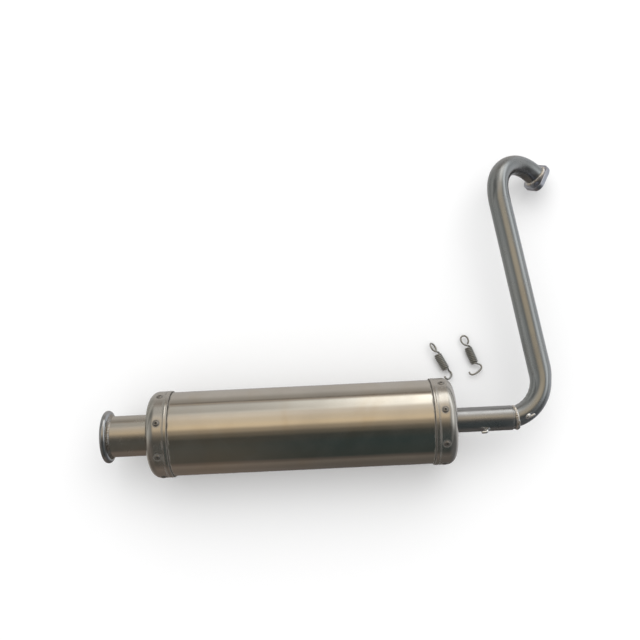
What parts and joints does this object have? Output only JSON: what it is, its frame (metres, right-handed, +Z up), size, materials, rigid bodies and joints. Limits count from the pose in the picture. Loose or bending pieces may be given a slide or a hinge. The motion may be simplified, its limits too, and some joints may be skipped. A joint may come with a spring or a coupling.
{
  "type": "racing exhaust system",
  "caption": "Straight-through riveted silencer with a rolled-lip outlet, a bent header pipe with an oval flange in a spring-held slip joint, and its loose springs.",
  "frame": {"origin": "centre of the bounding box's base, on the ground the object lies on", "axes": "+X along the silencer from the outlet to the header joint, +Y away from the near side, +Z up"},
  "size_m": [0.591, 0.4118, 0.1071],
  "materials": {
    "stainless_tinted": "polished stainless sheet with a warm tan tint",
    "stainless_cap": "polished stainless pressing",
    "rivet_steel": "satin",
    "pipe_steel": "polished steel tube",
    "weld_bead": "bright rippled weld",
    "inner_steel": "mill finish",
    "steel_wool": "matted wire",
    "glass_wool": "loose glass-fibre wool",
    "lip_chrome": "bright polished",
    "flange_steel": "zinc plated plate",
    "hook_steel": "bright rod",
    "spring_steel": "bright drawn wire"
  },
  "bodies": {
    "silencer": {"can_sleeve": "stainless_tinted", "inlet_cap": "stainless_cap", "outlet_cap": "stainless_cap", "inlet_cap_rivets": "rivet_steel", "outlet_cap_rivets": "rivet_steel", "inlet_tube": "pipe_steel", "inlet_weld": "weld_bead", "inlet_cone": "inner_steel", "core_tube": "inner_steel", "steel_wool_wrap": "steel_wool", "glass_packing": "glass_wool", "outlet_tube": "stainless_tinted", "outlet_weld": "weld_bead", "outlet_lip": "lip_chrome", "lip_weld": "weld_bead", "inlet_hooks": "hook_steel"},
    "header": {"header_stub": "pipe_steel", "header_tube": "pipe_steel", "mitre_weld": "weld_bead", "flange": "flange_steel", "flange_weld": "weld_bead", "header_hooks": "hook_steel"},
    "loose_spring_a": {"spring_a": "spring_steel"},
    "loose_spring_b": {"spring_b": "spring_steel"}
  },
  "joints": [
    {"name": "header_swivel", "type": "hinge", "parent": "silencer", "child": "header", "pos_m": [0.18045, -0.1524, 0.05358], "axis": [1, 0, 0], "range_deg": [0, 180]},
    {"name": "spring_a_lift", "type": "slide", "parent": "silencer", "child": "loose_spring_a", "axis": [0, 0, 1], "range_m": [0, 0.12]},
    {"name": "spring_b_lift", "type": "slide", "parent": "silencer", "child": "loose_spring_b", "axis": [0, 0, 1], "range_m": [0, 0.12]}
  ]
}
